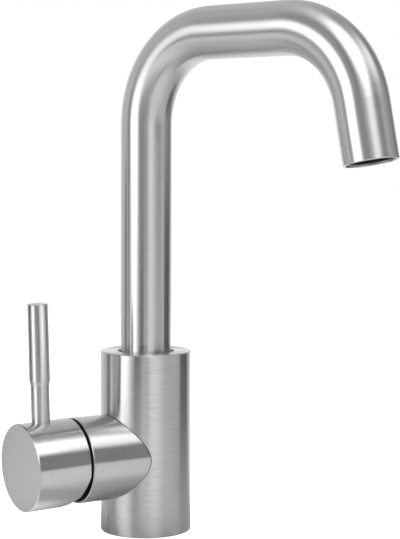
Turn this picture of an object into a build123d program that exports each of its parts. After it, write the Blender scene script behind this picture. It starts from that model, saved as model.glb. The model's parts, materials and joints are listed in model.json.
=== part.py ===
"""Single-hole basin mixer: round column, side valve with an upright lever, and a tall swivelling spout.

Millimetres. The origin is the centre of the column's foot, on the deck, with +Z up.
The valve axis runs along -X. The spout reaches forward along -Y, turned a little towards +X.
"""
from build123d import *
from math import cos, radians, sin, sqrt, tan
import os

# Column
column_radius = 25.0
column_height = 100.0
edge_break = 0.4            # chamfer on every turned outer edge
past = 1.0                  # how far a cut runs past the face it opens
joint_gap = 0.05            # between pieces that are fixed to each other
running_gap = 0.06          # radial, between pieces that turn or slide in each other

# Spout socket in the column
slide_wall = 1.6            # between the spout's tube and the socket
socket_web = 5.7            # metal between the socket's floor and the valve pocket

# Foot of the column
stud_hole_radius = 3.4      # M8 thread
stud_hole_depth = 18.0
stud_hole_x = 13.0
inlet_thread_radius = 4.45  # M10 x 1 thread
inlet_thread_depth = 12.0
seal_groove_margin = 1.8    # from the column's edge
seal_groove_width = 2.4
seal_groove_depth = 2.0

# Waterways
inlet_x = -4.0
inlet_way_radius = 3.2
mixed_way_radius = 3.2
mixed_way_x = 5.0

# Valve housing
valve_height = 42.7         # valve axis above the deck
housing_radius = 23.25
seam_line = 0.35            # fine groove round the seam between housing and column

# Cartridge, all heights along the valve axis from the column's axis
seat = 13.0                 # floor of the valve pocket
cartridge_radius = 17.5
shell_wall = 1.45
base_flange = 2.5
base_height = 5.5
base_rim_width = 1.6
base_rim_height = 2.0
base_rim_gap = 0.4          # between the rim and the shell
peg_radius = 2.0
peg_length = 2.6
peg_x, peg_y = 12.0, -4.0
port_x, port_y = 7.5, 5.0   # hot and cold ports, either side
outlet_port_y = -5.5
port_radius = 3.0
port_seal_width = 1.4
port_seal_height = 1.6
disc_seal_height = 1.2

# Ceramic discs
fixed_disc_thickness = 4.0
key_width = 3.0
key_depth = 1.4
inlet_slot_width = 4.0
inlet_slot_angle = 32.0
outlet_slot_width = 5.0
outlet_slot_angle = 40.0
water_film = 0.03
disc_step = 2.0             # how much smaller the moving disc's radius is
moving_disc_thickness = 4.0
mixing_width = 17.0
mixing_top = 1.6            # upper edge of the mixing pocket, from the disc's centre
mixing_bottom = -8.6
mixing_depth = 2.0
mixing_corner = 2.5

# Disc carrier
lug_width = 2.8
lug_depth = 2.2
lug_height = 2.0
carrier_step = 0.4          # how much smaller the carrier's radius is than the disc's
carrier_plate = 2.5
carrier_height = 6.0
tongue_width = 13.9
tongue_length = 15.0
ball_radius = 2.5
ball_neck_radius = 1.6
ball_arm = 11.5             # ball's centre to the pivot
ball_above_disc = 3.0

# Turret
turret_plate = 6.4
turret_neck_radius = 11.4
turret_neck_height = 6.5    # above the pivot
rail_width = 4.6
oring_section = 1.8
slot_up = 5.8               # spindle's slot in the turret, either side of the pin
slot_down = 7.0
pin_radius = 2.0

# Shell lip, nut and dome ring
lip_thickness = 3.0
nut_skirt = 2.5             # M40 x 1.5 thread over the 35 mm shell
nut_grip = 4.5              # how far the nut's skirt reaches down the shell
nut_cover = 3.15            # nut's face in front of the shell
nut_recess = 0.3            # nut's face below the housing's front
nut_neck_radius = 16.8
nut_neck_height = 3.0
nut_hole_radius = 14.4
nut_slot_width = 3.0
nut_slot_depth = 1.4
dome_gap = 0.3              # between the dome ring and the cap's mouth
dome_height = 4.5
dome_lip = 1.3
dome_hole_radius = 15.2

# Handle, all heights along its own axis
lean = 1.5                  # how far the closed handle leans, degrees
lift = 15.0                 # how far it opens, degrees
cap_overhang = 0.25         # how much larger the cap's radius is than the housing's
cap_gap = 1.6               # from the housing's front to the cap's rear edge
cap_length = 30.4
cap_lip = 1.1               # wall of the cap's mouth
cap_mouth_depth = 5.9
cap_wall = 3.0
cap_bore_depth = 11.9
hub_radius = 9.0
hub_length = 6.0
cap_relief_gap = 0.3        # left between the open handle and the housing
relief_knee = 16.5          # where the relief steepens, below the handle's axis
relief_length = 10.9        # where it leaves the cap, from the cap's rear edge
spindle_side = 8.0
spindle_eye_radius = 4.0
spindle_depth = 12.0        # how deep the spindle sits in the cap's front
lever_place = 17.55         # lever's axis from the cap's rear edge
lever_neck_radius = 5.0
lever_neck_length = 20.9
lever_taper = 2.6
lever_low_radius = 5.6
lever_top_radius = 5.45
lever_length = 64.7         # from its seat to its top
lever_seat_depth = 1.2      # lever's foot below the cap's top
lever_stud_radius = 3.0     # M6 thread
lever_stud_length = 12.0
set_screw_radius = 2.5      # M5 thread
set_screw_length = 11.0
hex_across = 2.5
hex_depth = 2.5

# Spout
spout_turn = 14.2           # from straight ahead, degrees
spout_height = 286.5
tube_radius = 14.0
tube_wall = 1.5
bend_radius = 48.0
spout_run = 53.0
first_bend = 90.0
second_bend = 78.0
spout_drop = 30.0
tube_grip = 8.0             # how deep the spigot's neck sits in the tube

# Spout's spigot, rings and stop screw
spigot_floor_gap = 0.2
spigot_neck_wall = 2.45
spigot_gap = 0.15           # between the spigot and the socket's wall
slide_ring_height = 3.0
slide_ring_wall = 1.3
mouth_depth = 4.0           # upper slide ring below the column's top
spout_oring_section = 2.6
spout_oring_pitch = 3.6
stop_groove_width = 3.6
stop_groove_depth = 2.2
stop_groove_web = 0.6       # between the stop groove and the O-ring below it
stop_tip_radius = 1.6
stop_tip_gap = 0.3
stop_screw_recess = 1.35    # screw's head below the column's side

# Aerator, measured inwards from the end of the tube
bush_depth = 1.0
bush_length = 11.0
bush_wall = 1.4             # leaves room for an M22 x 1 thread
aerator_depth = 1.3
aerator_length = 9.5
aerator_wall = 1.3
grille_thickness = 1.6
grille_hole_radius = 1.05
grille_pitch = 2.75
grille_margin = 0.3         # from the outer holes to the grille's edge
regulator_thickness = 2.4
regulator_hole_radius = 1.2
regulator_holes = 8
aerator_seal_thickness = 1.8
aerator_seal_width = 2.2

# Worked out from the sizes above
pocket_radius = cartridge_radius + running_gap
socket_radius = tube_radius + slide_wall
socket_floor = valve_height + pocket_radius + socket_web
seal_groove_radius = column_radius - seal_groove_margin
port_height = valve_height + port_y
outlet_port_height = valve_height + outlet_port_y
shell_bore = cartridge_radius - shell_wall
fixed_disc_radius = shell_bore - base_rim_gap - base_rim_width - joint_gap
moving_disc_radius = fixed_disc_radius - disc_step
carrier_radius = moving_disc_radius - carrier_step
fixed_disc_foot = seat + base_height
moving_disc_foot = fixed_disc_foot + fixed_disc_thickness + water_film
carrier_foot = moving_disc_foot + moving_disc_thickness
carrier_top = carrier_foot + carrier_height
pivot = carrier_foot + ball_above_disc + ball_arm
plate_foot = carrier_top + running_gap
plate_top = plate_foot + turret_plate
shell_top = plate_top + running_gap + lip_thickness
nut_thread_radius = cartridge_radius + nut_skirt
nut_foot = shell_top - nut_grip
nut_face = shell_top + nut_cover
housing_front = nut_face + nut_recess
disc_rest = ball_arm * sin(radians(lean))
open_angle = lean + lift
cap_radius = housing_radius + cap_overhang
cap_mouth_radius = cap_radius - cap_lip
cap_bore_radius = cap_radius - cap_wall
cap_rear = housing_front + cap_gap
cap_front = cap_rear + cap_length
cap_floor = cap_rear + cap_bore_depth
hub_foot = cap_floor - hub_length
dome_radius = sqrt(cap_mouth_radius ** 2 + (cap_rear - pivot) ** 2) - dome_gap
dome_front = housing_front + dome_height
lever_axis = cap_rear + lever_place
lever_foot = cap_radius - lever_seat_depth
spigot_radius = socket_radius - spigot_gap
spigot_foot = socket_floor + spigot_floor_gap
tube_foot = column_height - mouth_depth - slide_ring_height
low_oring_height = spigot_foot + slide_ring_height + spout_oring_pitch / 2
high_oring_height = low_oring_height + spout_oring_pitch
stop_height = high_oring_height + spout_oring_section / 2 + stop_groove_web + stop_groove_width / 2
tube_bore = tube_radius - tube_wall
neck_radius = tube_bore - joint_gap
spigot_bore = neck_radius - spigot_neck_wall
aerator_radius = tube_bore - bush_wall - 2 * joint_gap
grille_radius = aerator_radius - aerator_wall - joint_gap
grille_rings = int((grille_radius - grille_margin - grille_hole_radius) / grille_pitch)

VALVE = Plane(origin=(0, 0, valve_height), x_dir=(0, -1, 0), z_dir=(-1, 0, 0)).location
HANDLE = VALVE * Pos(0, 0, pivot) * Rot(lean, 0, 0) * Pos(0, 0, -pivot)
SPOUT = Rot(0, 0, spout_turn - 90)


def rod(radius, foot, top):
    """A plain cylinder on the Z axis."""
    return Pos(0, 0, foot) * Cylinder(radius, top - foot, align=(Align.CENTER, Align.CENTER, Align.MIN))


def ring(outer, inner, foot, top):
    """A plain ring on the Z axis."""
    return rod(outer, foot, top) - rod(inner, foot - past, top + past)


def turned(corners):
    """A turned piece, from the (radius, height) corners of half its section."""
    return revolve(make_face(Polyline([(r, 0, z) for r, z in corners], close=True)), Axis.Z)


def bar(radius, foot, top):
    """A turned bar with both outer edges broken."""
    b = edge_break
    return turned([(0, foot), (radius - b, foot), (radius, foot + b), (radius, top - b),
                   (radius - b, top), (0, top)])


def block(width, depth, foot, top):
    """A rectangular block on the Z axis."""
    return Pos(0, 0, foot) * Box(width, depth, top - foot, align=(Align.CENTER, Align.CENTER, Align.MIN))


def side_hole(radius, height, start, end):
    """A cylinder along +Y at one height, from one distance to another."""
    return Pos(0, 0, height) * Rot(-90, 0, 0) * rod(radius, start, end)


def ports():
    """The places of the cold, hot and outlet ports across the valve axis."""
    return [(-port_x, port_y), (port_x, port_y), (0, outlet_port_y)]


def waterways():
    """The two inlets up to the valve's seat, and the mixed way from the seat up to the spout socket."""
    way = Pos(mixed_way_x, 0, 0) * rod(mixed_way_radius, outlet_port_height, socket_floor + past)
    way += VALVE * Pos(0, outlet_port_y, 0) * rod(mixed_way_radius, -mixed_way_x, seat + past)
    for side in (-1, 1):
        inlet = Pos(inlet_x, side * port_x, 0)
        way += inlet * rod(inlet_way_radius, -past, port_height)
        way += inlet * rod(inlet_thread_radius, -past, inlet_thread_depth)
        way += VALVE * Pos(side * port_x, port_y, 0) * rod(inlet_way_radius, -inlet_x, seat + past)
    return way


def body_column():
    column = bar(column_radius, 0, column_height)
    column -= turned([(0, socket_floor), (socket_radius, socket_floor),
                      (socket_radius, column_height - edge_break),
                      (socket_radius + edge_break + past, column_height + past), (0, column_height + past)])
    column -= VALVE * rod(pocket_radius, seat, column_radius + past)
    column -= waterways()
    for side in (-1, 1):
        column -= VALVE * Pos(side * peg_x, peg_y, 0) * rod(
            peg_radius + running_gap, seat - peg_length - past, seat + past)
    column -= Pos(stud_hole_x, 0, 0) * rod(stud_hole_radius, -past, stud_hole_depth)
    column -= ring(seal_groove_radius, seal_groove_radius - seal_groove_width, -past, seal_groove_depth)
    column -= side_hole(set_screw_radius, stop_height, socket_radius - past, column_radius + past)
    return column


def valve_housing():
    """The branch, coped on to the column."""
    housing = VALVE * (bar(housing_radius, 0, housing_front)
                       - rod(pocket_radius, -past, housing_front + past)
                       - rod(nut_thread_radius, nut_foot - past, housing_front + past))
    housing -= rod(column_radius + joint_gap, 0, column_height)
    skin = VALVE * ring(housing_radius + past, housing_radius - seam_line, 0, housing_front)
    return housing - (skin & rod(column_radius + seam_line, 0, column_height))


def base_seal():
    return ring(seal_groove_radius - joint_gap, seal_groove_radius - seal_groove_width + joint_gap,
                0, seal_groove_depth - joint_gap)


def cartridge_base():
    """Lower half of the cartridge: stepped disc with three ports, two pegs, and a keyed rim."""
    step = seat + base_flange
    base = rod(cartridge_radius, seat, step) + rod(shell_bore - joint_gap, seat, fixed_disc_foot)
    rim_inner = fixed_disc_radius + joint_gap
    base += ring(rim_inner + base_rim_width, rim_inner, fixed_disc_foot, fixed_disc_foot + base_rim_height)
    for side in (-1, 1):
        base += Pos(side * (rim_inner + base_rim_width / 2 - key_depth / 2), 0, 0) * block(
            base_rim_width / 2 + key_depth, key_width - 2 * joint_gap,
            fixed_disc_foot, fixed_disc_foot + base_rim_height)
        base += Pos(side * peg_x, peg_y, 0) * rod(peg_radius, seat - peg_length, seat)
    for x, y in ports():
        place = Pos(x, y, 0)
        base -= place * rod(port_radius, seat - past, fixed_disc_foot + past)
        seal = port_radius + port_seal_width + joint_gap
        base -= place * rod(seal, seat - past, seat + port_seal_height + joint_gap)
        base -= place * rod(seal, fixed_disc_foot - disc_seal_height - joint_gap, fixed_disc_foot + past)
    return VALVE * base


def seals(foot, height):
    """One rubber ring at each port."""
    return [VALVE * Pos(x, y, 0) * ring(port_radius + port_seal_width, port_radius, foot, foot + height)
            for x, y in ports()]


def slot(radius, middle, sweep_angle, width, foot, top):
    """A curved slot round the axis."""
    line = CenterArc((0, 0), radius, middle - sweep_angle / 2, sweep_angle)
    return Pos(0, 0, foot) * extrude(SlotArc(line, width), top - foot)


def fixed_disc():
    """Ceramic disc with two inlet slots and an outlet slot, keyed on both sides."""
    foot, top = fixed_disc_foot, fixed_disc_foot + fixed_disc_thickness
    disc = rod(fixed_disc_radius, foot, top)
    radius = sqrt(port_x ** 2 + port_y ** 2)
    for side in (-1, 1):
        middle = Vector(side * port_x, port_y, 0).get_signed_angle(Vector(1, 0, 0), Vector(0, 0, -1))
        disc -= slot(radius, middle, inlet_slot_angle, inlet_slot_width, foot - past, top + past)
        disc -= Pos(side * fixed_disc_radius, 0, 0) * block(
            2 * (key_depth + joint_gap), key_width, foot - past, foot + base_rim_height + joint_gap)
    disc -= slot(-outlet_port_y, -90, outlet_slot_angle, outlet_slot_width, foot - past, top + past)
    return VALVE * disc


def moving_disc():
    """Ceramic disc with the mixing pocket in its lower face and two notches for the carrier's lugs."""
    foot, top = moving_disc_foot, moving_disc_foot + moving_disc_thickness
    disc = rod(moving_disc_radius, foot, top)
    height = mixing_top - mixing_bottom
    pocket = Pos(0, (mixing_top + mixing_bottom) / 2, foot - past) * extrude(
        RectangleRounded(mixing_width, height, mixing_corner), mixing_depth + past)
    disc -= pocket & rod(moving_disc_radius - edge_break - past, foot - past, top)
    for side in (-1, 1):
        disc -= Pos(side * moving_disc_radius, 0, 0) * block(
            2 * (lug_depth + joint_gap), lug_width + 2 * joint_gap,
            top - lug_height - joint_gap, top + past)
    return VALVE * Pos(0, disc_rest, 0) * disc


def disc_carrier():
    """Plate on the moving disc: lugs below, a guide tongue above, and the socket of the spindle's ball."""
    lug_radius = moving_disc_radius - joint_gap
    carrier = rod(carrier_radius, carrier_foot, carrier_foot + carrier_plate)
    carrier += block(tongue_width, tongue_length, carrier_foot, carrier_top)
    for side in (-1, 1):
        carrier += Pos(side * (lug_radius - lug_depth / 2), 0, 0) * block(
            lug_depth, lug_width, carrier_foot - lug_height, carrier_foot + carrier_plate)
    socket = ball_radius + running_gap
    mouth = carrier_foot + ball_above_disc + ball_radius / 2
    carrier -= rod(socket, carrier_foot - past, carrier_top + past)
    carrier -= turned([(0, mouth), (socket, mouth),
                       (socket + carrier_top - mouth + past, carrier_top + past), (0, carrier_top + past)])
    return VALVE * Pos(0, disc_rest, 0) * carrier


def turret():
    """The part that turns under the shell's lip: rails for the carrier, and a neck for the pivot pin."""
    plate_radius = shell_bore - running_gap
    body = rod(plate_radius, plate_foot, plate_top)
    body += rod(turret_neck_radius, plate_foot, pivot + turret_neck_height)
    rail_middle = tongue_width / 2 + running_gap + rail_width / 2
    rail_foot = carrier_foot + carrier_plate + running_gap
    for side in (-1, 1):
        rail = Pos(side * rail_middle, 0, 0) * block(rail_width, 2 * plate_radius, rail_foot, plate_foot)
        body += rail & rod(plate_radius, rail_foot, plate_foot)
    groove = plate_radius - oring_section
    middle = (plate_foot + plate_top) / 2
    body -= ring(plate_radius + past, groove, middle - oring_section / 2 - joint_gap,
                 middle + oring_section / 2 + joint_gap)
    slot_height = slot_up + slot_down
    body -= Pos(0, (slot_up - slot_down) / 2, 0) * block(
        spindle_side + 2 * running_gap, slot_height, plate_foot - past, pivot + turret_neck_height + past)
    pin_hole = Cylinder(pin_radius + joint_gap, 2 * turret_neck_radius + past)
    body -= Pos(0, 0, pivot) * Rot(0, 90, 0) * pin_hole
    return VALVE * body


def turret_oring():
    """O-ring between the turret and the shell."""
    middle = (plate_foot + plate_top) / 2
    centre = shell_bore - running_gap - oring_section / 2
    return VALVE * Pos(0, 0, middle) * Torus(centre, oring_section / 2 - joint_gap)


def pivot_pin():
    length = 2 * (sqrt(turret_neck_radius ** 2 - pin_radius ** 2) - edge_break)
    return VALVE * Pos(0, 0, pivot) * Rot(0, 90, 0) * Cylinder(pin_radius, length)


def cartridge_shell():
    """Upper half of the cartridge, snapped over the base, with the lip that keeps the turret in."""
    shell = ring(cartridge_radius, shell_bore, seat + base_flange, shell_top)
    shell += ring(cartridge_radius, turret_neck_radius + running_gap, shell_top - lip_thickness, shell_top)
    return VALVE * shell


def cartridge_nut():
    """Ring nut with a skirt over the shell, a neck for the dome ring and six key slots."""
    nut = ring(nut_thread_radius - joint_gap, nut_hole_radius, nut_foot, nut_face)
    nut += ring(nut_neck_radius, nut_hole_radius, nut_face, nut_face + nut_neck_height)
    nut -= rod(cartridge_radius + joint_gap, nut_foot - past, shell_top)
    for turn in PolarLocations(nut_neck_radius, 6):
        nut -= turn * block(2 * nut_slot_depth, nut_slot_width, nut_face, nut_face + nut_neck_height + past)
    return VALVE * nut


def dome_ring():
    """Zone of a sphere about the pivot, so that the cap swings over it at a steady gap."""
    inner = nut_neck_radius + joint_gap
    outer = turned([(inner, housing_front), (dome_radius + past, housing_front),
                    (dome_radius + past, dome_front), (inner, dome_front)])
    dome = outer & Pos(0, 0, pivot) * Sphere(dome_radius)
    dome += ring(inner + past, dome_hole_radius, dome_front - dome_lip, dome_front)
    return VALVE * dome


def lever_spindle():
    """Square spindle with the pin's eye, and the ball that drives the disc carrier."""
    top = cap_floor + spindle_depth
    ball = pivot - ball_arm
    spindle = block(spindle_side, spindle_side, pivot, top)
    spindle = chamfer(spindle.edges().filter_by(Axis.Z), edge_break)
    spindle = chamfer(spindle.faces().sort_by(Axis.Z)[-1].edges(), edge_break)
    spindle += Pos(0, 0, pivot) * Rot(0, 90, 0) * Cylinder(spindle_eye_radius, spindle_side)
    spindle += rod(ball_neck_radius, ball, pivot)
    spindle += Pos(0, 0, ball) * Sphere(ball_radius)
    spindle -= Pos(0, 0, pivot) * Rot(0, 90, 0) * Cylinder(pin_radius + running_gap, spindle_side + past)
    return HANDLE * spindle


def relief():
    """The slanted cut under the back of the cap, parallel to the housing's face when the handle is open."""
    angle = radians(open_angle)
    flank = pivot + (housing_front + cap_relief_gap - pivot) / cos(angle)
    rise = (flank - cap_rear) / tan(angle)
    knee = flank + relief_knee * tan(angle)
    foot = -cap_radius - past
    points = [(rise + past, cap_rear - past * tan(angle)), (-relief_knee, knee),
              (foot, cap_rear + relief_length + past), (foot, cap_rear - past),
              (rise + past, cap_rear - past)]
    section = make_face(Polyline([(0, y, z) for y, z in points], close=True))
    return extrude(section, cap_radius + past, both=True)


def handle_cap():
    """Turned cap: thin mouth over the dome ring, hub round the spindle, solid front, relief underneath."""
    cap = bar(cap_radius, cap_rear, cap_front)
    cap -= rod(cap_mouth_radius, cap_rear - past, cap_rear + cap_mouth_depth)
    cap -= ring(cap_bore_radius, hub_radius, cap_rear - past, cap_floor)
    cap -= rod(hub_radius + past, cap_rear - past, hub_foot)
    cap -= relief()
    cap -= block(spindle_side + 2 * joint_gap, spindle_side + 2 * joint_gap,
                 hub_foot - past, cap_floor + spindle_depth + joint_gap)
    cap -= side_hole(lever_neck_radius + joint_gap, lever_axis, lever_foot, cap_radius + past)
    cap -= side_hole(lever_stud_radius + joint_gap, lever_axis,
                     lever_foot - lever_stud_length - joint_gap, cap_radius)
    cap -= side_hole(set_screw_radius + joint_gap, lever_axis,
                     -cap_radius - past, -spindle_side / 2 + joint_gap)
    return HANDLE * cap


def lever_rod():
    """Upright rod: threaded stud, slim neck, short taper and a slightly tapered grip."""
    stud_foot = lever_foot - lever_stud_length
    neck_top, top = lever_foot + lever_neck_length, lever_foot + lever_length
    b = edge_break
    profile = [(0, stud_foot), (lever_stud_radius - b, stud_foot), (lever_stud_radius, stud_foot + b),
               (lever_stud_radius, lever_foot), (lever_neck_radius, lever_foot),
               (lever_neck_radius, neck_top),
               (lever_low_radius, neck_top + lever_taper), (lever_top_radius, top - b),
               (lever_top_radius - b, top), (0, top)]
    return HANDLE * Pos(0, 0, lever_axis) * Rot(-90, 0, 0) * turned(profile)


def grub_screw(radius, tip, head):
    """Socket screw along +Z, from its tip to its hex socket."""
    b = edge_break
    screw = turned([(0, tip), (radius - b, tip), (radius, tip + b), (radius, head), (0, head)])
    return screw - Pos(0, 0, head - hex_depth) * extrude(
        RegularPolygon(hex_across / 2, 6, major_radius=False), hex_depth + past)


def handle_set_screw():
    tip = spindle_side / 2 + joint_gap
    screw = grub_screw(set_screw_radius, tip, tip + set_screw_length)
    return HANDLE * Pos(0, 0, lever_axis) * Rot(90, 0, 0) * screw


def spout_stop_screw():
    """Grub screw at the back of the column; its tip runs in the spigot's groove."""
    tip = spigot_radius - stop_groove_depth + stop_tip_gap
    shoulder = socket_radius + joint_gap
    screw = grub_screw(set_screw_radius - joint_gap, shoulder, column_radius - stop_screw_recess)
    screw += rod(stop_tip_radius, tip, shoulder + edge_break)
    return Pos(0, 0, stop_height) * Rot(-90, 0, 0) * screw


def spout_line():
    """Centreline of the spout in its own plane, from the tube's foot to its end."""
    rise = Line((0, tube_foot), (0, spout_height - tube_radius - bend_radius))
    bend = JernArc(rise @ 1, rise % 1, bend_radius, -first_bend)
    run = Line(bend @ 1, bend @ 1 + spout_run * (bend % 1))
    turn = JernArc(run @ 1, run % 1, bend_radius, -second_bend)
    drop = Line(turn @ 1, turn @ 1 + spout_drop * (turn % 1))
    return Plane.XZ * Wire([rise, bend, run, turn, drop])


def outlet():
    """Frame at the tube's end, with Z along the tube and pointing out."""
    line = spout_line()
    return SPOUT * Plane(origin=line @ 1, x_dir=(0, 1, 0), z_dir=line % 1).location


def spout_tube():
    """Bent tube with both corners of its end broken."""
    line = spout_line()
    start = Plane(origin=line @ 0, z_dir=line % 0)
    tube = sweep(start * Circle(tube_radius), path=line) - sweep(start * Circle(tube_bore), path=line)
    b, end_break = past, edge_break + past
    corner = turned([(tube_radius + b, b), (tube_radius + b, -end_break),
                     (tube_radius - edge_break, 0), (tube_radius - edge_break, b)])
    corner += turned([(tube_bore - b, b), (tube_bore - b, -end_break),
                      (tube_bore + edge_break, 0), (tube_bore + edge_break, b)])
    return SPOUT * tube - outlet() * corner


def groove(depth, width, middle):
    """What is turned away round the spigot for one groove."""
    return ring(spigot_radius + past, spigot_radius - depth, middle - width / 2, middle + width / 2)


def spout_spigot():
    """Turned foot of the spout: lower slide ring's seat, O-ring grooves, stop groove, neck in the tube."""
    neck_top = tube_foot + tube_grip
    spigot = rod(spigot_radius, spigot_foot, tube_foot) + rod(neck_radius, spigot_foot, neck_top)
    spigot -= rod(spigot_bore, spigot_foot - past, neck_top + past)
    spigot -= groove(slide_ring_wall, 2 * slide_ring_height, spigot_foot)
    for height in (low_oring_height, high_oring_height):
        spigot -= groove(spout_oring_section - joint_gap, spout_oring_section, height)
    spigot -= groove(stop_groove_depth, stop_groove_width, stop_height)
    return SPOUT * spigot


def spout_orings():
    centre = spigot_radius - spout_oring_section / 2 + joint_gap
    return [SPOUT * Pos(0, 0, height) * Torus(centre, spout_oring_section / 2 - joint_gap)
            for height in (low_oring_height, high_oring_height)]


def lower_slide_ring():
    outer = socket_radius - running_gap
    return SPOUT * ring(outer, spigot_radius - slide_ring_wall + joint_gap,
                        spigot_foot, spigot_foot + slide_ring_height - joint_gap)


def upper_slide_ring():
    outer = socket_radius - running_gap
    return SPOUT * ring(outer, tube_radius + joint_gap, tube_foot, tube_foot + slide_ring_height)


def aerator_bush():
    """Threaded ring fixed in the end of the tube."""
    return outlet() * ring(tube_bore - joint_gap, aerator_radius + joint_gap,
                           -bush_depth - bush_length, -bush_depth)


def aerator_housing():
    """Cup of the aerator: open towards the outlet, with a ledge at its inner end."""
    foot, face = -aerator_depth - aerator_length, -aerator_depth
    cup = ring(aerator_radius, aerator_radius - aerator_wall, foot, face)
    ledge = aerator_radius - aerator_seal_width
    return outlet() * (cup + ring(aerator_radius, ledge, foot, foot + aerator_wall))


def aerator_grille():
    """Round grille of small holes in rings of six, twelve and eighteen."""
    grille = rod(grille_radius, -aerator_depth - grille_thickness, -aerator_depth)
    hole = rod(grille_hole_radius, -aerator_depth - grille_thickness - past, -aerator_depth + past)
    holes = [hole]
    for number in range(1, grille_rings + 1):
        holes += [place * hole for place in PolarLocations(number * grille_pitch, 6 * number)]
    return outlet() * (grille - holes)


def flow_regulator():
    """Disc on the ledge, with a ring of small holes round a raised middle."""
    foot = -aerator_depth - aerator_length + aerator_wall
    disc = rod(grille_radius, foot, foot + regulator_thickness)
    disc += rod(grille_radius / 3, foot, foot + 2 * regulator_thickness)
    hole = rod(regulator_hole_radius, foot - past, foot + regulator_thickness + past)
    disc -= [place * hole for place in PolarLocations(grille_radius * 2 / 3, regulator_holes)]
    return outlet() * disc


def aerator_seal():
    top = -aerator_depth - aerator_length
    return outlet() * ring(aerator_radius, aerator_radius - aerator_seal_width,
                           top - aerator_seal_thickness, top)


NODES = {
    "body_column": body_column(),
    "valve_housing": valve_housing(),
    "base_seal": base_seal(),
    "cartridge_base": cartridge_base(),
    "port_seals": seals(seat, port_seal_height),
    "disc_seals": seals(fixed_disc_foot - disc_seal_height, disc_seal_height),
    "fixed_disc": fixed_disc(),
    "cartridge_shell": cartridge_shell(),
    "cartridge_nut": cartridge_nut(),
    "dome_ring": dome_ring(),
    "spout_stop_screw": spout_stop_screw(),
    "spout_tube": spout_tube(),
    "spout_spigot": spout_spigot(),
    "spout_orings": spout_orings(),
    "upper_slide_ring": upper_slide_ring(),
    "lower_slide_ring": lower_slide_ring(),
    "aerator_bush": aerator_bush(),
    "aerator_housing": aerator_housing(),
    "aerator_grille": aerator_grille(),
    "flow_regulator": flow_regulator(),
    "aerator_seal": aerator_seal(),
    "turret": turret(),
    "pivot_pin": pivot_pin(),
    "turret_oring": turret_oring(),
    "lever_spindle": lever_spindle(),
    "handle_cap": handle_cap(),
    "lever_rod": lever_rod(),
    "handle_set_screw": handle_set_screw(),
    "moving_disc": moving_disc(),
    "disc_carrier": disc_carrier(),
}

os.makedirs("parts", exist_ok=True)
for name, shape in NODES.items():
    solid = Compound(children=shape) if isinstance(shape, list) else shape
    export_step(solid, f"parts/{name}.step")
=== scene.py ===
# %% [markdown]
# # A basin mixer in brushed stainless steel
# The mixer is already modelled to size as a CAD part, and this file dresses it for a picture. It gives
# every piece the finish that it has on the real object, adds the few details that a CAD model leaves out,
# and sets up a small photographer's studio. A brushed metal shows little of its own colour: what the eye
# reads as steel is the studio, drawn out into bands. So most of the work below is the brushing and the
# lamps.

# %% Load the CAD part
import json
from math import cos, pi, radians, sin

import bmesh
import bpy
from mathutils import Matrix, Vector


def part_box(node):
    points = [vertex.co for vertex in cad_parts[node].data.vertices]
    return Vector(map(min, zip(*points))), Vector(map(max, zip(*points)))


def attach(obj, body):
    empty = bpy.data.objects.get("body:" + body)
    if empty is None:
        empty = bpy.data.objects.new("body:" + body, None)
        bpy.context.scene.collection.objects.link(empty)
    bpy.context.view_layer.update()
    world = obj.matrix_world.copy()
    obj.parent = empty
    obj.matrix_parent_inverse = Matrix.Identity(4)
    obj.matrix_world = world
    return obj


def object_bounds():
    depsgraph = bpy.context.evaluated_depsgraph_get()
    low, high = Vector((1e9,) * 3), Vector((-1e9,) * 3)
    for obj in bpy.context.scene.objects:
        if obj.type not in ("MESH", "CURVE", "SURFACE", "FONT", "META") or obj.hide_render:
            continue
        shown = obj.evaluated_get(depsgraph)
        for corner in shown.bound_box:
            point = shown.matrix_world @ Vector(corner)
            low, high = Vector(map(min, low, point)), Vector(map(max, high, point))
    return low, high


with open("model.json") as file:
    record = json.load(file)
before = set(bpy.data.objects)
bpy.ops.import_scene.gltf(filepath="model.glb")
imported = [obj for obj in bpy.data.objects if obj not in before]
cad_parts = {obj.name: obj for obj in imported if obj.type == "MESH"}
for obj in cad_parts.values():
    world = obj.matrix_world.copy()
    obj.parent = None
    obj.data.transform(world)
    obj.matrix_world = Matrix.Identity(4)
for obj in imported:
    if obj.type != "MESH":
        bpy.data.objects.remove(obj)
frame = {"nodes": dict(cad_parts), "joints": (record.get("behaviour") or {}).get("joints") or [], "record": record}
nodes = frame["nodes"]
cad_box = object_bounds()
MM = 0.001                                # Blender counts in metres here
print("the CAD part has", len(nodes), "pieces and stands", round(cad_box[1].z / MM, 1), "mm tall")

# %% [markdown]
# ## The camera
# A long lens from a little above the table keeps the column's sides upright and shows the top of the
# column as a thin ellipse. The place, the turn and the lens come from fitting the mixer's outlines to the
# photograph, so the picture needs no shift. The lens is worked out for a picture whose long side is the
# 36 mm side of the sensor.

# %% Camera
PICTURE = (400, 539)                      # pixels, across and up
SENSOR = 36.0                             # mm
FOCAL_PIXELS = 1624.5                     # from the fit
CAMERA_PLACE = (-0.4583, -0.7686, 0.2130)         # metres, from the fit
CAMERA_ANGLES = (85.645, -0.240, -32.693)         # degrees about X, Y and Z, from the fit
NEAREST, FARTHEST = 0.05, 50              # metres: what is nearer or farther is not drawn

lens = bpy.data.cameras.new("long_lens")
lens.sensor_width = SENSOR
lens.lens = FOCAL_PIXELS * SENSOR / max(PICTURE)
lens.clip_start, lens.clip_end = NEAREST, FARTHEST
camera = bpy.data.objects.new("camera", lens)
camera.location = CAMERA_PLACE
camera.rotation_euler = [radians(angle) for angle in CAMERA_ANGLES]
bpy.context.scene.collection.objects.link(camera)
bpy.context.scene.camera = camera
print("the lens is", round(lens.lens, 1), "mm")

# %% [markdown]
# ## One way to add a node
# A material is a small network of nodes. Adding each one by hand takes four or five lines, so one
# function does it: it makes the node, sets its choices, and for each input either links a socket or types
# in a value.

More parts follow.
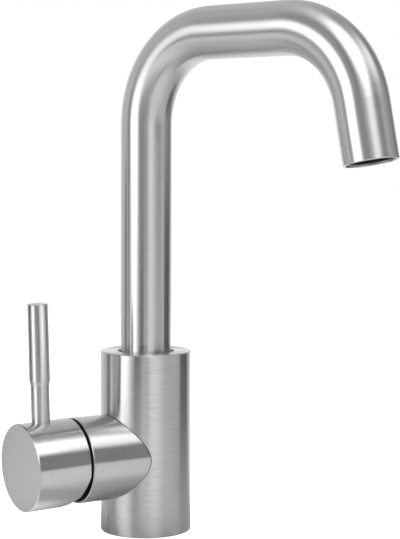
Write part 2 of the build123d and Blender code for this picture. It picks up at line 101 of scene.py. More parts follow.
# %% Adding a node
def add(tree, kind, inputs=None, **choices):
    """Adds a node; inputs are sockets to link or values to type in."""
    node = tree.nodes.new("ShaderNode" + kind)
    for name, value in choices.items():
        setattr(node, name, value)
    for name, value in (inputs or {}).items():
        if isinstance(value, bpy.types.NodeSocket):
            tree.links.new(value, node.inputs[name])
        else:
            node.inputs[name].default_value = value
    return node

# %% [markdown]
# ## Colours, and empty materials
# Colours are written as the sRGB hex values that a paint program shows, and one function turns them into
# the linear light that the renderer counts in. Another makes a material with nothing in it, since each
# surface below is built up from its own nodes.

# %% Colours and empty materials
def linear(code):
    """Linear colour of an sRGB hex value such as C0C0C0."""
    parts = [int(code[i:i + 2], 16) / 255 for i in (0, 2, 4)]
    return tuple(p / 12.92 if p <= 0.04045 else ((p + 0.055) / 1.055) ** 2.4 for p in parts) + (1.0,)


def blank(name):
    """A new material with nothing in it but its output."""
    material = bpy.data.materials.new(name)
    material.use_nodes = True
    tree = material.node_tree
    tree.nodes.clear()
    return material, tree, tree.nodes.new("ShaderNodeOutputMaterial")


print("the grey 808080 is", round(linear("808080")[0], 2), "of full light")

# %% [markdown]
# ## The studio: light from all round
# The metal mirrors the whole room, so the room's light is painted as a ramp round the horizon: white
# behind the mixer, greyer at its sides and round the camera. Each stop of the ramp is one thing that the
# column mirrors at one place across its width, which is how the stops were found. Directions are counted
# in degrees to the right of the camera, as seen from the mixer.

# %% A ramp round the horizon
CAMERA_TURN = -31.0                       # degrees, where the camera stands round the mixer


def light_round(tree, place, stops):
    """Light by direction from the mixer; each stop is an angle and the light there."""
    turned = add(tree, "Mapping", {"Vector": place, "Rotation": (0, 0, radians(90 - CAMERA_TURN))})
    turn = add(tree, "TexGradient", {"Vector": turned.outputs[0]}, gradient_type="RADIAL")
    ramp = add(tree, "ValToRGB", {"Fac": turn.outputs["Fac"]})
    while len(ramp.color_ramp.elements) < len(stops):
        ramp.color_ramp.elements.new(0.5)
    for element, (angle, light) in zip(ramp.color_ramp.elements, stops):
        element.position = angle / 360 + 0.5
        element.color = (light, light, light, 1)
    lights = [light for angle, light in stops]
    print("a ramp of", len(stops), "stops, whose light goes from", min(lights), "to", max(lights))
    return ramp.outputs["Color"]

# %% [markdown]
# ## The studio: a pale table
# The table is plain white laminate. Its own light is what the lamps throw on it, so it keeps the mixer's
# shadow. The camera also sees an added white, which takes the lit table up to the white of the
# background. The metal sees that white too, but by a ramp of its own, because round a real table stand
# the grey things of a studio. Close to the foot, where the mixer shades the table, the metal sees none of
# it, and the underside of the valve darkens as it should.

# %% The white that the table adds
TABLE_WHITE = "C8C8C8"
EYE_WHITE = 0.93                          # what the camera sees added, where 1 is white
METAL_WHITE = (                           # what the metal sees added: degrees round the horizon, and light
    (-180, 0.45), (-172, 0.12), (-162, 0.15), (-150, 0.4), (-140, 0.35), (-122, 0.08), (-113, 0.1),
    (-105, 0.4), (-94, 0.42), (-86, 0.0), (-74, 0.25), (-62, 0.85), (-50, 0.8), (-40, 0.05), (-22, 0.03),
    (-10, 0.4), (35, 0.42), (60, 0.3), (80, 0.06), (95, 0.0), (130, 0.0), (142, 0.3), (151, 0.75),
    (158, 0.93), (166, 0.93), (174, 0.55), (180, 0.45))
FOOT_SHADE = 32 * MM, 75 * MM             # from the foot's middle: none of it within, all of it beyond


def who_sees(tree):
    """Two sockets: one is 1 for what the camera sees itself, the other for what it sees in metal or through
    something clear."""
    paths = add(tree, "LightPath")
    in_metal, through_clear = paths.outputs["Is Glossy Ray"], paths.outputs["Is Transmission Ray"]
    mirrored = add(tree, "Math", {0: in_metal, 1: through_clear}, operation="ADD")
    return paths.outputs["Is Camera Ray"], mirrored.outputs[0]


table_laminate, tree, output = blank("white_laminate_table")
place = add(tree, "TexCoord").outputs["Object"]
eye, metal = who_sees(tree)
white_round = light_round(tree, place, METAL_WHITE)
from_foot = add(tree, "VectorMath", {0: place}, operation="LENGTH")
open_table = add(tree, "MapRange", {"Value": from_foot.outputs["Value"], "From Min": FOOT_SHADE[0],
                                    "From Max": FOOT_SHADE[1]}, interpolation_type="SMOOTHSTEP")
shaded = add(tree, "Math", {0: open_table.outputs[0], 1: white_round}, operation="MULTIPLY")
to_metal = add(tree, "Math", {0: metal, 1: shaded.outputs[0]}, operation="MULTIPLY")
to_eye = add(tree, "Math", {0: eye, 1: EYE_WHITE}, operation="MULTIPLY")
added = add(tree, "Math", {0: to_eye.outputs[0], 1: to_metal.outputs[0]}, operation="ADD")
glow = add(tree, "Emission", {"Color": linear("FFFFFF"), "Strength": added.outputs[0]})
lit = add(tree, "BsdfDiffuse", {"Color": linear(TABLE_WHITE)})
both = add(tree, "AddShader", {0: lit.outputs[0], 1: glow.outputs[0]})
tree.links.new(both.outputs[0], output.inputs["Surface"])

# %% [markdown]
# ## The table's top
# A flat sheet is enough for the table, and the cards further down are flat sheets too, so one function
# makes them. The sheet is laid in its place by a matrix while it is still a bmesh, which leaves the
# object itself at the origin. The table lies a hair below the foot, so that the two faces don't fall
# together.

# %% Table
LEFT, RIGHT, FRONT, BACK = 0.74, 1.15, 0.45, 1.15         # metres from the mixer to the table's edges
BELOW_FOOT = 0.02 * MM


def sheet(name, width, tall, matrix, material):
    """A flat sheet, laid in its place by the matrix."""
    shape = bmesh.new()
    bmesh.ops.create_grid(shape, x_segments=1, y_segments=1, size=0.5)
    bmesh.ops.scale(shape, verts=shape.verts, vec=(width, tall, 1))
    bmesh.ops.transform(shape, verts=shape.verts, matrix=matrix)
    mesh = bpy.data.meshes.new(name)
    shape.to_mesh(mesh)
    shape.free()
    thing = bpy.data.objects.new(name, mesh)
    thing.data.materials.append(material)
    bpy.context.scene.collection.objects.link(thing)
    print(name, "is", round(width, 3), "x", round(tall, 3), "m")
    return thing


below = Matrix.Translation((0, 0, cad_box[0].z - BELOW_FOOT))
to_camera = Matrix.Rotation(radians(CAMERA_TURN), 4, "Z")
aside = Matrix.Translation(((RIGHT - LEFT) / 2, (BACK - FRONT) / 2, 0))
table = sheet("table", LEFT + RIGHT, FRONT + BACK, below @ to_camera @ aside, table_laminate)

# %% [markdown]
# ## The studio: the room
# Behind the mixer the room is the white backdrop, which the camera, the metal and anything clear see
# alike. At the sides and round the camera it is grey, and overhead it is a little less bright than at the
# horizon. At the right the lamps also light the floor beyond the table, which only the tall spout
# mirrors. The height of a direction is a number here too: 0 at the horizon and 1 straight overhead.

# %% The room's light
ROOM = ((-180, 0.95), (-150, 0.95), (-138, 0.7), (-126, 0.8), (-98, 0.78), (-88, 0.28), (-64, 0.7),
        (-45, 0.7), (-28, 0.42), (-8, 0.36), (5, 0.38), (14, 0.95), (30, 0.95), (43, 0.34), (54, 0.15),
        (66, 0.15), (78, 0.48), (104, 0.52), (128, 0.27), (140, 0.35), (154, 0.8), (180, 0.95))
FLOOR = ((-180, 0.0), (28, 0.0), (42, 0.75), (76, 0.75), (92, 0.3), (112, 0.0), (180, 0.0))
FLOOR_EDGE = -0.03, -0.05                 # the heights between which the floor's light comes in
OVERHEAD = 0.75                           # light overhead, as a share of that at the horizon
FADE = 0.3, 0.8                           # the heights between which it falls to that

world = bpy.data.worlds.new("studio_room")
bpy.context.scene.world = world
world.use_nodes = True
tree = world.node_tree
tree.nodes.clear()
place = add(tree, "TexCoord").outputs["Generated"]
height = add(tree, "SeparateXYZ", {0: place}).outputs[2]
room_round = light_round(tree, place, ROOM)
floor_round = light_round(tree, place, FLOOR)
under = add(tree, "MapRange", {"Value": height, "From Min": FLOOR_EDGE[0], "From Max": FLOOR_EDGE[1],
                               "To Min": 0.0, "To Max": 1.0})
with_floor = add(tree, "Math", {0: floor_round, 1: under.outputs[0], 2: room_round},
                 operation="MULTIPLY_ADD")
fade = add(tree, "MapRange", {"Value": height, "From Min": FADE[0], "From Max": FADE[1],
                              "To Min": 1.0, "To Max": OVERHEAD}, interpolation_type="SMOOTHSTEP")
room_light = add(tree, "Background", {"Color": with_floor.outputs[0], "Strength": fade.outputs[0]})

# %% [markdown]
# ## The studio: the backdrop
# The camera sees plain white all round, so that every view has the same background. Metal and clear
# things see that white only where the backdrop hangs: behind the mixer, up to a third of the way
# overhead. A mix of two backgrounds does it, the room's own light and plain white.

# %% The backdrop
BACKDROP = ((-180, 1.0), (-152, 1.0), (-140, 0.0), (140, 0.0), (152, 1.0), (180, 1.0))
BACKDROP_TOP = 0.25, 0.5                  # the heights between which it fades out

behind = light_round(tree, place, BACKDROP)
low = add(tree, "MapRange", {"Value": height, "From Min": BACKDROP_TOP[0], "From Max": BACKDROP_TOP[1],
                             "To Min": 1.0, "To Max": 0.0}, interpolation_type="SMOOTHSTEP")
low_behind = add(tree, "Math", {0: behind, 1: low.outputs[0]}, operation="MULTIPLY")
eye, metal = who_sees(tree)
backdrop = add(tree, "Math", {0: metal, 1: low_behind.outputs[0]}, operation="MULTIPLY")
sees_white = add(tree, "Math", {0: eye, 1: backdrop.outputs[0]}, operation="ADD")
white = add(tree, "Background", {"Color": linear("FFFFFF"), "Strength": 1.0})
mix = add(tree, "MixShader", {0: sees_white.outputs[0], 1: room_light.outputs[0], 2: white.outputs[0]})
output = tree.nodes.new("ShaderNodeOutputWorld")
tree.links.new(mix.outputs[0], output.inputs["Surface"])

# %% [markdown]
# ## The studio: a softbox
# A softbox is a lamp behind a white cloth, and the brushed cylinders draw it out into a bright stripe. An
# even cloth would give a stripe with hard sides, so the cloth here is brightest in its middle and fades
# to its edge. Blender's area lamp is just such a cloth, and its own nodes can dim it from place to place.

# %% One softbox
CORE, EDGE = 0.15, 0.5                    # widths from the cloth's middle: even up to here, dark from there
ABOVE_TABLE = 0.12                        # metres, the height that most softboxes are aimed at


def towards(turn, height=0.0):
    """The direction to something turn degrees to the right of the camera and height degrees up."""
    across, up = radians(turn + CAMERA_TURN), radians(height)
    return Vector((sin(across) * cos(up), -cos(across) * cos(up), sin(up)))


def light_cloth(tree):
    """A cloth that is even in its middle and fades to its edge."""
    tree.nodes.clear()
    cloth = add(tree, "NewGeometry")
    middle = add(tree, "VectorMath", {0: cloth.outputs["Parametric"], 1: (0.5, 0.5, 0)},
                 operation="SUBTRACT")
    reach = add(tree, "VectorMath", {0: middle.outputs[0]}, operation="LENGTH")
    fall = add(tree, "MapRange", {"Value": reach.outputs["Value"], "From Min": CORE, "From Max": EDGE,
                                  "To Min": 1.0, "To Max": 0.0}, interpolation_type="SMOOTHSTEP")
    glow = add(tree, "Emission", {"Strength": fall.outputs[0]})
    output = tree.nodes.new("ShaderNodeOutputLight")
    tree.links.new(glow.outputs[0], output.inputs["Surface"])


def softbox(name, back, distance, width, tall, strength, start=Vector((0, 0, ABOVE_TABLE)), facing=None):
    """A softbox at a distance in the direction back from start. It faces start unless facing says
    otherwise; strength is the brightness in the middle of its cloth."""
    lamp = bpy.data.lights.new(name, "AREA")
    lamp.shape = "RECTANGLE"
    lamp.size, lamp.size_y = width, tall
    lamp.energy = strength * width * tall * pi
    lamp.use_nodes = True
    light_cloth(lamp.node_tree)
    thing = bpy.data.objects.new(name, lamp)
    thing.location = start + back * distance
    thing.rotation_mode = "QUATERNION"
    thing.rotation_quaternion = (facing or -back).to_track_quat("-Z", "Y")
    thing.visible_camera = False
    bpy.context.scene.collection.objects.link(thing)
    print(name, "is", width, "x", tall, "m and", distance, "m away")

# %% [markdown]
# ## The studio: five softboxes
# The one at the left gives the stripe down the column and the spout, the one overhead the broad band
# along the valve, and the one at the right keeps the right-hand sides from going dull. A low wide one in
# front gives the leg of the spout its second stripe. A small one close by, level with the lever, does the
# same for the lever.

# %% Softboxes
LEVER_BOX_RISE = 21 * MM                  # from the middle of the lever up to the middle of its softbox

lever_low, lever_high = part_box("lever_rod")
lever_middle = (lever_low + lever_high) / 2
softbox("left_softbox", towards(-57, 16), distance=1.35, width=1.40, tall=1.24, strength=3.6)
softbox("top_softbox", towards(21, 60), distance=2.0, width=2.4, tall=2.1, strength=3.1)
softbox("right_softbox", towards(80, 45), distance=2.0, width=2.2, tall=1.3, strength=1.6)
softbox("spout_softbox", towards(20, 38), distance=2.0, width=2.2, tall=0.6, strength=2.2)
softbox("lever_softbox", towards(46), distance=0.062, width=0.080, tall=0.066, strength=1.3,
        start=lever_middle + Vector((0, 0, LEVER_BOX_RISE)), facing=towards(-90))

# %% [markdown]
# ## The studio: paper for cards
# Photographers stand dark cards just out of sight on both sides of a shiny thing. The metal mirrors them
# as the dark lines down its edges, which keep it apart from the white background. Matt paper does it
# best, since it has no highlight of its own. The backs of these cards let the light through, so that a
# card darkens only the piece that it faces.

# %% Paper
def card_paper(name, shade):
    """Matt paper on the front of a card; its back lets the light through."""
    material, tree, output = blank(name)
    matt = add(tree, "BsdfDiffuse", {"Color": linear(shade)})
    gone = add(tree, "BsdfTransparent")
    side = add(tree, "NewGeometry")
    one_sided = add(tree, "MixShader", {0: side.outputs["Backfacing"], 1: matt.outputs[0],
                                        2: gone.outputs[0]})
    tree.links.new(one_sided.outputs[0], output.inputs["Surface"])
    print(name, "is", shade)
    return material


dark_paper = card_paper("matt_paper_dark_grey", "707070")
pale_paper = card_paper("matt_paper_pale_grey", "B0B0B0")
black_paper = card_paper("matt_paper_black", "1A1A1A")

# %% [markdown]
# ## The studio: four cards
# Two grey cards serve the column and the spout, and two small black ones the thin lever. Only the
# mirrored image matters, so the cards are hidden from the camera and throw no shadow. A sheet is made
# lying down: it is stood up first, then turned to face the mixer, and moved out to its place last.

# %% Cards
def paper_card(name, turn, distance, width, tall, paper, low=0.0, facing=None):
    """A card whose lower edge is low above the table; it faces the mixer, or the direction facing."""
    upright = Matrix.Rotation(pi / 2, 4, "X")
    heading = turn + 180 if facing is None else facing
    turned = Matrix.Rotation(radians(heading + CAMERA_TURN), 4, "Z")
    away = Matrix.Translation(towards(turn) * distance + Vector((0, 0, low + tall / 2)))
    card = sheet(name, width, tall, away @ turned @ upright, paper)
    card.visible_camera = card.visible_diffuse = card.visible_shadow = False


paper_card("right_card", 109, distance=0.28, width=0.16, tall=0.18, paper=dark_paper)
paper_card("left_card", -101, distance=0.115, width=0.028, tall=0.20, paper=pale_paper)
paper_card("lever_left_card", -83, distance=0.152, width=0.098, tall=0.10, paper=black_paper, low=0.058,
           facing=0)
paper_card("lever_front_card", -18, distance=0.137, width=0.040, tall=0.046, paper=black_paper, low=0.070)

# %% [markdown]
# ## Brushed stainless steel
# The turned pieces were held against a fine abrasive belt while they spun, so hair-thin scratches run
# round them. Such scratches spread a reflection along the piece and keep it sharp across: that is why the
# stripes on the column are clear-cut at their sides and never end. The shader does this with anisotropy,
# and needs to know which way is along.
# The scratches themselves are 0.1 mm apart or less, too fine for a picture in which a millimetre is two
# pixels, so they are drawn as coarse as they need to show, 0.5 mm apart and 7 mm long, and very faint.
# The belt leaves the column a little more streaked than the small pieces.

# %% Brushed steel
FINE = "C7C7C5", "BFBFBD"                 # the steel between the scratches, and in them
PLAIN_TO_SEE = "CACAC8", "BCBCBA"         # the same on the column
# painted shade: the dark colour given to the steel along the housing's joint with the column
PAINTED_SEAM_SHADE = "1C1B1A"
SCRATCH, SCRATCH_LENGTH = 0.5 * MM, 7 * MM        # real ones are finer
ROUGHNESS = 0.23, 0.25                    # from streak to streak
SCRATCH_BUMP, SCRATCH_DEPTH = 0.015, 0.02 * MM
USUAL_NOISE = 0.3, 0.7                    # most values of a noise lie between these


def finish_steel(tree, output, along, scratch_place, streaks=FINE, painted_shade=0.0):
    """Brushed steel from the direction along the piece, and a place whose X counts the scratches. Where
    painted_shade is one, a painted shade makes the steel dark."""
    noise = add(tree, "TexNoise", {"Vector": scratch_place, "Scale": 1.0, "Detail": 3.0, "Roughness": 0.65})
    scratches = add(tree, "MapRange", {"Value": noise.outputs["Fac"], "From Min": USUAL_NOISE[0],
                                       "From Max": USUAL_NOISE[1]})
    # a Mix node has its two colours in sockets 6 and 7, and gives the mixed one in socket 2
    brushed = add(tree, "Mix", {0: scratches.outputs[0], 6: linear(streaks[1]), 7: linear(streaks[0])},
                  data_type="RGBA")
    # painted shade: where it is one, the steel's colour goes dark
    colour = add(tree, "Mix", {0: painted_shade, 6: brushed.outputs[2], 7: linear(PAINTED_SEAM_SHADE)}, data_type="RGBA")
    rough = add(tree, "MapRange", {"Value": scratches.outputs[0], "To Min": ROUGHNESS[0],
                                   "To Max": ROUGHNESS[1]})
    bump = add(tree, "Bump", {"Height": noise.outputs["Fac"], "Strength": SCRATCH_BUMP,
                              "Distance": SCRATCH_DEPTH})
    steel = add(tree, "BsdfPrincipled", {
        "Base Color": colour.outputs[2], "Metallic": 1.0, "Roughness": rough.outputs[0],
        "Anisotropic": 1.0, "Tangent": along, "Normal": bump.outputs[0]})
    tree.links.new(steel.outputs[0], output.inputs["Surface"])

# %% [markdown]
# ## Which way is along
# Each turned piece has its own axis, which is the direction along its side. The end faces, whose
# scratches are circles, get theirs from the same sum: the axis plus the direction outwards. Both come
# from the vector out from the axis, which also says where a point is on the piece, and so which scratch
# it lies on. Where the valve's housing meets the column runs a fine groove, and along it a painted shade
# darkens the steel, standing in for the shade in the joint.

# %% Brushed steel round an axis
# the painted shade fills the groove's width and fades out beyond it
GROOVE = 0.35 * MM                        # width of the groove where the housing meets the column
PAINTED_SHADE_EDGE = 0.35 * MM                     # how far beyond the groove the dark fades out


def from_axis(tree, place, centre, axis):
    """How far a place is along an axis, and the vector out to it."""
    here = add(tree, "VectorMath", {0: place, 1: centre}, operation="SUBTRACT")
    height = add(tree, "VectorMath", {0: here.outputs[0], 1: axis}, operation="DOT_PRODUCT")
    level = add(tree, "VectorMath", {0: axis, "Scale": height.outputs["Value"]}, operation="SCALE")
    outwards = add(tree, "VectorMath", {0: here.outputs[0], 1: level.outputs[0]}, operation="SUBTRACT")
    return height.outputs["Value"], outwards.outputs[0]


def painted_shade_near_axis(tree, place, centre, axis, radius):
    """Painted shade: one within the radius of an axis, and nought beyond the painted shade's edge."""
    there = add(tree, "VectorMath", {0: place, 1: centre}, operation="SUBTRACT")
    square = add(tree, "VectorMath", {0: there.outputs[0], 1: axis}, operation="CROSS_PRODUCT")
    apart = add(tree, "VectorMath", {0: square.outputs[0]}, operation="LENGTH")
    fade = add(tree, "MapRange", {"Value": apart.outputs["Value"], "From Min": radius,
                                  "From Max": radius + PAINTED_SHADE_EDGE, "To Min": 1.0, "To Max": 0.0})
    return fade.outputs[0]


def turned_steel(name, centre, axis, face=None, streaks=FINE, seam=None):
    """Brushed steel for a turned piece, from a point on its axis and the axis. The end faces have circular
    scratches, or straight ones square to the direction that face gives. A seam is the centre, axis and
    radius of the cylinder that the piece is joined to; along it a painted shade darkens the steel."""
    material, tree, output = blank(name)
    place = add(tree, "TexCoord").outputs["Object"]
    height, outwards = from_axis(tree, place, centre, axis)
    out = add(tree, "VectorMath", {0: outwards}, operation="NORMALIZE")
    along = add(tree, "VectorMath", {0: face or out.outputs[0], 1: axis}, operation="ADD")
    along_world = add(tree, "VectorTransform", {0: along.outputs[0]}, vector_type="VECTOR",
                      convert_from="OBJECT", convert_to="WORLD")
    radius = add(tree, "VectorMath", {0: outwards}, operation="LENGTH")
    across = add(tree, "Math", {0: height, 1: radius.outputs["Value"]}, operation="ADD")
    count = add(tree, "Math", {0: across.outputs[0], 1: 1 / SCRATCH}, operation="MULTIPLY")
    slow = add(tree, "VectorMath", {0: outwards, "Scale": 1 / SCRATCH_LENGTH}, operation="SCALE")
    split = add(tree, "SeparateXYZ", {0: slow.outputs[0]})
    mixed = add(tree, "Math", {0: split.outputs[0], 1: split.outputs[2]}, operation="ADD")
    scratch_place = add(tree, "CombineXYZ", {0: count.outputs[0], 1: mixed.outputs[0], 2: split.outputs[1]})
    # painted shade along the seam
    painted_shade = painted_shade_near_axis(tree, place, *seam) if seam else 0.0
    finish_steel(tree, output, along_world.outputs[0], scratch_place.outputs[0], streaks, painted_shade)
    print(name, "has its axis along", [round(part, 2) for part in axis])
    return material

# %% [markdown]
# ## Steel for the column, the valve and the lever
# The column and the valve's housing stand square to each other, and the cap and its lever lean back a
# little when the handle is closed. The points on their axes come from the CAD part: the handle's joint
# lies on the axis of the valve. The cap's face spreads its reflections sideways only, as straight upright
# scratches do, and so it is given one direction of its own.

# %% Steel for the turned pieces
UP = (0, 0, 1)
LEAN = radians(1.5)                       # of the closed handle
LEVER_OUT = 23.62 * MM                    # from the handle's joint out to the axis of the lever
FACE_PULL = 0.02                          # so small that it counts on the cap's face, and not on its side

joints = {joint["name"]: joint for joint in frame["joints"]}
pivot = Vector(joints["handle_flow"]["pos_m"])
column_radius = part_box("body_column")[1].x
handle_axis = Vector((-cos(LEAN), 0, -sin(LEAN)))
lever_axis = Vector((-sin(LEAN), 0, cos(LEAN)))

column_steel = turned_steel("stainless_steel_brushed_round_the_column", (0, 0, 0), UP, streaks=PLAIN_TO_SEE)
# the valve's housing gets a painted shade where it meets the column
housing_steel = turned_steel("stainless_steel_brushed_round_the_valve", (0, 0, pivot.z), (-1, 0, 0),
                             seam=((0, 0, 0), UP, column_radius + GROOVE))
cap_steel = turned_steel("stainless_steel_brushed_round_the_cap", pivot, handle_axis,
                         face=(0, FACE_PULL, 0))
lever_steel = turned_steel("stainless_steel_brushed_round_the_lever", pivot + handle_axis * LEVER_OUT,
                           lever_axis)

# %% [markdown]
# ## Which way the bent tube runs
# The spout was bent first and brushed afterwards, round the tube all the way. The shader therefore needs
# the direction along the tube at every point of the bends. It is worked out in the spout's own upright
# plane: on a bend it stands square to the line from the bend's centre, and on a straight it is the last
# direction of the bend. The sizes are those of the CAD part, whose tube goes up, round a quarter turn,
# forwards, round the second bend and down. The functions below find how far forwards, sideways and up a
# point is, and what it lies beside.

# %% Where a point is on the tube
SPOUT_TURN = radians(14.2)                # at rest, from straight ahead to the right
BEND = 48 * MM                            # radius of both bends, to the middle of the tube
RISE = 224.5 * MM                         # where the first bend starts
RUN = 53 * MM                             # from the first bend to the second
SECOND_BEND = radians(78)

forwards = Vector((sin(SPOUT_TURN), -cos(SPOUT_TURN), 0))
sideways = Vector((cos(SPOUT_TURN), sin(SPOUT_TURN), 0))
second_centre = forwards * (BEND + RUN) + Vector((0, 0, RISE))
last_way = forwards * cos(SECOND_BEND) - Vector((0, 0, sin(SECOND_BEND)))


def tube_place(tree, place):
    """How far forwards, sideways and up a place is."""
    front = add(tree, "VectorMath", {0: place, 1: forwards}, operation="DOT_PRODUCT")
    side = add(tree, "VectorMath", {0: place, 1: sideways}, operation="DOT_PRODUCT")
    height = add(tree, "SeparateXYZ", {0: place})
    return front.outputs["Value"], side.outputs["Value"], height.outputs[2]


def last_straight(tree, place, front):
    """One in front of the second bend's centre, one beyond that bend's end, and how far beyond."""
    from_centre = add(tree, "VectorMath", {0: place, 1: second_centre}, operation="SUBTRACT")
    drop = add(tree, "VectorMath", {0: from_centre.outputs[0], 1: last_way}, operation="DOT_PRODUCT")
    past = add(tree, "Math", {0: front, 1: BEND + RUN}, operation="GREATER_THAN")
    down = add(tree, "Math", {0: drop.outputs["Value"], 1: 0.0}, operation="GREATER_THAN")
    on_drop = add(tree, "Math", {0: past.outputs[0], 1: down.outputs[0]}, operation="MULTIPLY")
    return past.outputs[0], on_drop.outputs[0], drop.outputs["Value"]


def from_bend(tree, front, height):
    """How far forwards the point is that the tube bends round, and how far forwards and up of it the place
    lies. Along the run that point keeps below the place."""
    middle = add(tree, "Clamp", {"Value": front, "Min": BEND, "Max": BEND + RUN})
    out = add(tree, "Math", {0: front, 1: middle.outputs[0]}, operation="SUBTRACT")
    above = add(tree, "Math", {0: height, 1: RISE}, operation="SUBTRACT")
    up = add(tree, "Math", {0: above.outputs[0], 1: 0.0}, operation="MAXIMUM")
    return middle.outputs[0], out.outputs[0], up.outputs[0]


before_last = RISE + BEND * (pi / 2 + SECOND_BEND) + RUN
print("the tube is", round(before_last / MM, 1), "mm long up to its last straight")

# %% [markdown]
# ## The tube's turn and its length
# The angle that the tube has turned through gives its direction: nothing on the way up, a quarter turn on
# the run, and the sum of both bends on the last straight. The length along the tube counts the scratches,
# as the height does on a straight piece. It is the sum of the five stretches, each counted as far as the
# point lies along it.

# %% The tube's turn and its length
def tube_angle(tree, out, up, on_drop):
    """How far the tube has turned."""
    back = add(tree, "Math", {0: out, 1: -1.0}, operation="MULTIPLY")
    on_bends = add(tree, "Math", {0: up, 1: back.outputs[0]}, operation="ARCTAN2")
    angle = add(tree, "Mix", {0: on_drop, 2: on_bends.outputs[0], 3: pi / 2 + SECOND_BEND})
    return angle.outputs[0]


def tube_direction(tree, flat, steep):
    """The tube's direction in the world, from its part forwards and its part upwards."""
    ahead = add(tree, "VectorMath", {0: forwards, "Scale": flat}, operation="SCALE")
    rising = add(tree, "CombineXYZ", {2: steep})
    along = add(tree, "VectorMath", {0: ahead.outputs[0], 1: rising.outputs[0]}, operation="ADD")
    in_world = add(tree, "VectorTransform", {0: along.outputs[0]}, vector_type="VECTOR",
                   convert_from="OBJECT", convert_to="WORLD")
    return in_world.outputs[0]


def tube_length(tree, height, past, angle, middle, drop, on_drop):
    """How far along the tube a place is."""
    # past the second bend the place is low again, and a metre more lets the way up count in full
    raised = add(tree, "Math", {0: height, 1: past}, operation="ADD")
    rise = add(tree, "Math", {0: raised.outputs[0], 1: RISE}, operation="MINIMUM")
    with_bends = add(tree, "Math", {0: angle, 1: BEND, 2: rise.outputs[0]}, operation="MULTIPLY_ADD")
    straights = add(tree, "Math", {0: drop, 1: on_drop, 2: middle}, operation="MULTIPLY_ADD")
    length = add(tree, "Math", {0: with_bends.outputs[0], 1: straights.outputs[0]}, operation="ADD")
    return length.outputs[0]

# %% [markdown]
# ## Brushed steel on the bent tube
# With the direction and the length known, the tube gets the same brushed steel as the turned pieces.
# Length tells one scratch from the next, and the way sideways where along a scratch the point lies. On
# the last straight, which slants, the way forwards adds a little to that.

# %% Brushed steel for the spout
def tube_steel():
    """Brushed steel that follows the spout's bends."""
    material, tree, output = blank("stainless_steel_brushed_round_the_bent_tube")
    place = add(tree, "TexCoord").outputs["Object"]
    front, side, height = tube_place(tree, place)
    past, on_drop, drop = last_straight(tree, place, front)
    middle, out, up = from_bend(tree, front, height)
    angle = tube_angle(tree, out, up, on_drop)
    flat = add(tree, "Math", {0: angle}, operation="SINE").outputs[0]
    steep = add(tree, "Math", {0: angle}, operation="COSINE").outputs[0]
    length = tube_length(tree, height, past, angle, middle, drop, on_drop)
    up_part = add(tree, "Math", {0: up, 1: steep}, operation="MULTIPLY").outputs[0]
    reach = add(tree, "Math", {0: out, 1: flat, 2: up_part}, operation="MULTIPLY_ADD").outputs[0]
    spot = add(tree, "CombineXYZ", {0: length, 1: side, 2: reach}).outputs[0]
    counts = (1 / SCRATCH, 1 / SCRATCH_LENGTH, 1 / SCRATCH_LENGTH)
    scratch_place = add(tree, "VectorMath", {0: spot, 1: counts}, operation="MULTIPLY").outputs[0]
    finish_steel(tree, output, tube_direction(tree, flat, steep), scratch_place)
    print(material.name, "has", len(tree.nodes), "nodes")
    return material


spout_steel = tube_steel()

# %% [markdown]
# ## The other materials
# These show only from below, in the narrow gap behind the handle, or when the mixer is taken apart. Each
# has a fine grain, so that none of them looks like flat paint. The real grains are finer still and
# wouldn't show, so they are drawn coarser, at half a millimetre to 1.2 mm.

# %% Plain materials, each with its own surface
GRAIN_BUMP, GRAIN_DEPTH = 0.3, 0.02 * MM
GRAIN_ROUGHNESS = 0.05                    # how much the grain adds to the roughness or takes away


def plain(name, light, dark, grain, roughness, metallic=0.0, ior=1.5, shine=0.5):
    """A material with a fine grain, from its two colours and the size of the grain."""
    material, tree, output = blank(name)
    place = add(tree, "TexCoord").outputs["Object"]
    noise = add(tree, "TexNoise", {"Vector": place, "Scale": 1 / grain, "Detail": 4.0})
    colour = add(tree, "Mix", {0: noise.outputs["Fac"], 6: linear(dark), 7: linear(light)},
                 data_type="RGBA")
    rough = add(tree, "MapRange", {
        "Value": noise.outputs["Fac"], "From Min": USUAL_NOISE[0], "From Max": USUAL_NOISE[1],
        "To Min": roughness - GRAIN_ROUGHNESS, "To Max": roughness + GRAIN_ROUGHNESS})
    bump = add(tree, "Bump", {"Height": noise.outputs["Fac"], "Strength": GRAIN_BUMP,
                              "Distance": GRAIN_DEPTH})
    surface = add(tree, "BsdfPrincipled", {
        "Base Color": colour.outputs[2], "Metallic": metallic, "Roughness": rough.outputs[0],
        "IOR": ior, "Specular IOR Level": shine, "Normal": bump.outputs[0]})
    tree.links.new(surface.outputs[0], output.inputs["Surface"])
    print(name, "has a grain of", round(grain / MM, 1), "mm")
    return material


# turned brass is smooth and yellow, with soft highlights
brass = plain("brass_turned", "D9BE82", "CDB072", 0.8 * MM, 0.30, metallic=1.0)
# moulded acetal is waxy, with a wide dim highlight; the black one in the gap behind the handle looks dark
white_acetal = plain("acetal_moulded_white", "E9E8E2", "DEDDD6", 1.2 * MM, 0.42, ior=1.48)
black_acetal = plain("acetal_moulded_black", "0B0B0C", "070708", 1.0 * MM, 0.85, ior=1.48, shine=0.1)
# nitrile rubber is dull and nearly black
rubber = plain("nitrile_rubber_moulded", "232323", "1B1B1B", 0.7 * MM, 0.75, ior=1.52)
# lapped ceramic is creamy white and the smoothest of all
ceramic = plain("alumina_ceramic_lapped", "EFE9DC", "E6DFD0", 0.5 * MM, 0.18, ior=1.77)
# a screw's steel is pressed and not brushed: greyer, with an even sheen
screw_steel = plain("stainless_steel_screw_cold_headed", "B4B3AF", "A5A4A0", 0.5 * MM, 0.32, metallic=1.0)

# %% [markdown]
# ## Which piece is made of what
# Nearly all that shows is brushed steel, each piece with the brushing of its own axis. Inside, the
# ceramic discs let the water through or stop it, acetal holds and guides them, brass takes the loads, and
# rubber seals.

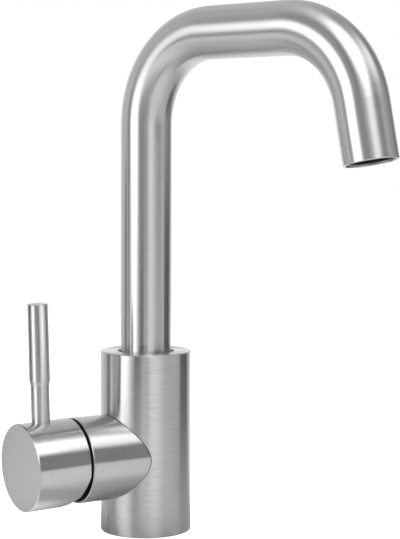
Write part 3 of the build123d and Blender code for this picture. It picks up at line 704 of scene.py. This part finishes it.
# %% A finish for every piece
FINISHES = {
    "body_column": column_steel, "valve_housing": housing_steel, "handle_cap": cap_steel,
    "lever_rod": lever_steel, "spout_tube": spout_steel,
    "cartridge_nut": brass, "spout_spigot": brass, "lever_spindle": brass,
    "cartridge_base": white_acetal, "cartridge_shell": white_acetal, "upper_slide_ring": white_acetal,
    "lower_slide_ring": white_acetal, "flow_regulator": white_acetal, "turret": white_acetal,
    "disc_carrier": white_acetal,
    "dome_ring": black_acetal, "aerator_housing": black_acetal, "aerator_grille": black_acetal,
    "base_seal": rubber, "port_seals": rubber, "disc_seals": rubber, "spout_orings": rubber,
    "aerator_seal": rubber, "turret_oring": rubber,
    "fixed_disc": ceramic, "moving_disc": ceramic,
    "spout_stop_screw": screw_steel, "handle_set_screw": screw_steel, "pivot_pin": screw_steel,
    "aerator_bush": screw_steel,
}
for name, thing in nodes.items():
    thing.data.materials.clear()
    thing.data.materials.append(FINISHES[name])
print("every piece has a finish:", sorted(nodes) == sorted(FINISHES))

# %% [markdown]
# ## Threads in the foot
# The two supply hoses screw into M10 x 1 holes in the foot, and the stud that pulls the mixer down on the
# deck into an M8 hole. A thread is one small triangular section wound round the hole. The spin operator
# does just that when each step also moves a little along the axis, by the pitch over a whole turn. The
# CAD holes are as wide as the crests leave free, so the ridges here are kept low. The places and sizes of
# the holes are in the CAD part's record.

# %% Threads
M10_FINE, M8 = 1.0 * MM, 1.25 * MM        # pitches
TURN_STEPS = 24
RIDGE = 0.28 * MM                         # how far a crest stands out of the hole's wall
ROOT = 0.06 * MM                          # how deep the ridge is set into the wall
FLANK = 0.4                               # half the ridge's width in the wall, as a share of the pitch
SAME_POINT = 1e-7                         # metres


def thread(name, hole, pitch):
    """The ridge of an inner thread in a hole of the foot, from just above its mouth up to its end."""
    x, y = hole["pos_m"][:2]
    radius, depth = hole["dims"]["r_mm"] * MM, hole["dims"]["length_mm"] * MM
    turns = int((depth - pitch) / pitch)
    wall, crest = radius + ROOT, radius - RIDGE
    corners = [(wall, FLANK * pitch), (crest, 2 * FLANK * pitch), (wall, 3 * FLANK * pitch)]
    shape = bmesh.new()
    section = shape.faces.new([shape.verts.new((x + out, y, up)) for out, up in corners])
    bmesh.ops.spin(shape, geom=[section, *section.edges, *section.verts], cent=(x, y, 0), axis=UP,
                   dvec=(0, 0, pitch / TURN_STEPS), angle=2 * pi * turns, steps=turns * TURN_STEPS,
                   use_duplicate=False)
    bmesh.ops.remove_doubles(shape, verts=shape.verts, dist=SAME_POINT)
    bmesh.ops.recalc_face_normals(shape, faces=shape.faces)
    open_edges = sum(not edge.is_manifold for edge in shape.edges)
    mesh = bpy.data.meshes.new(name)
    shape.to_mesh(mesh)
    shape.free()
    piece = bpy.data.objects.new(name, mesh)
    piece.data.materials.append(screw_steel)
    bpy.context.scene.collection.objects.link(piece)
    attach(piece, "column")
    print(name, "has", turns, "turns and", open_edges, "open edges")


mounts = {mount["name"]: mount for mount in frame["record"]["mounts"]}
thread("front_inlet_thread", mounts["front_inlet"], M10_FINE)
thread("back_inlet_thread", mounts["back_inlet"], M10_FINE)
thread("stud_hole_thread", mounts["stud_hole"], M8)

# %% [markdown]
# The Standard view shows light as it is, so white stays white.

bpy.context.scene.view_settings.view_transform = "Standard"
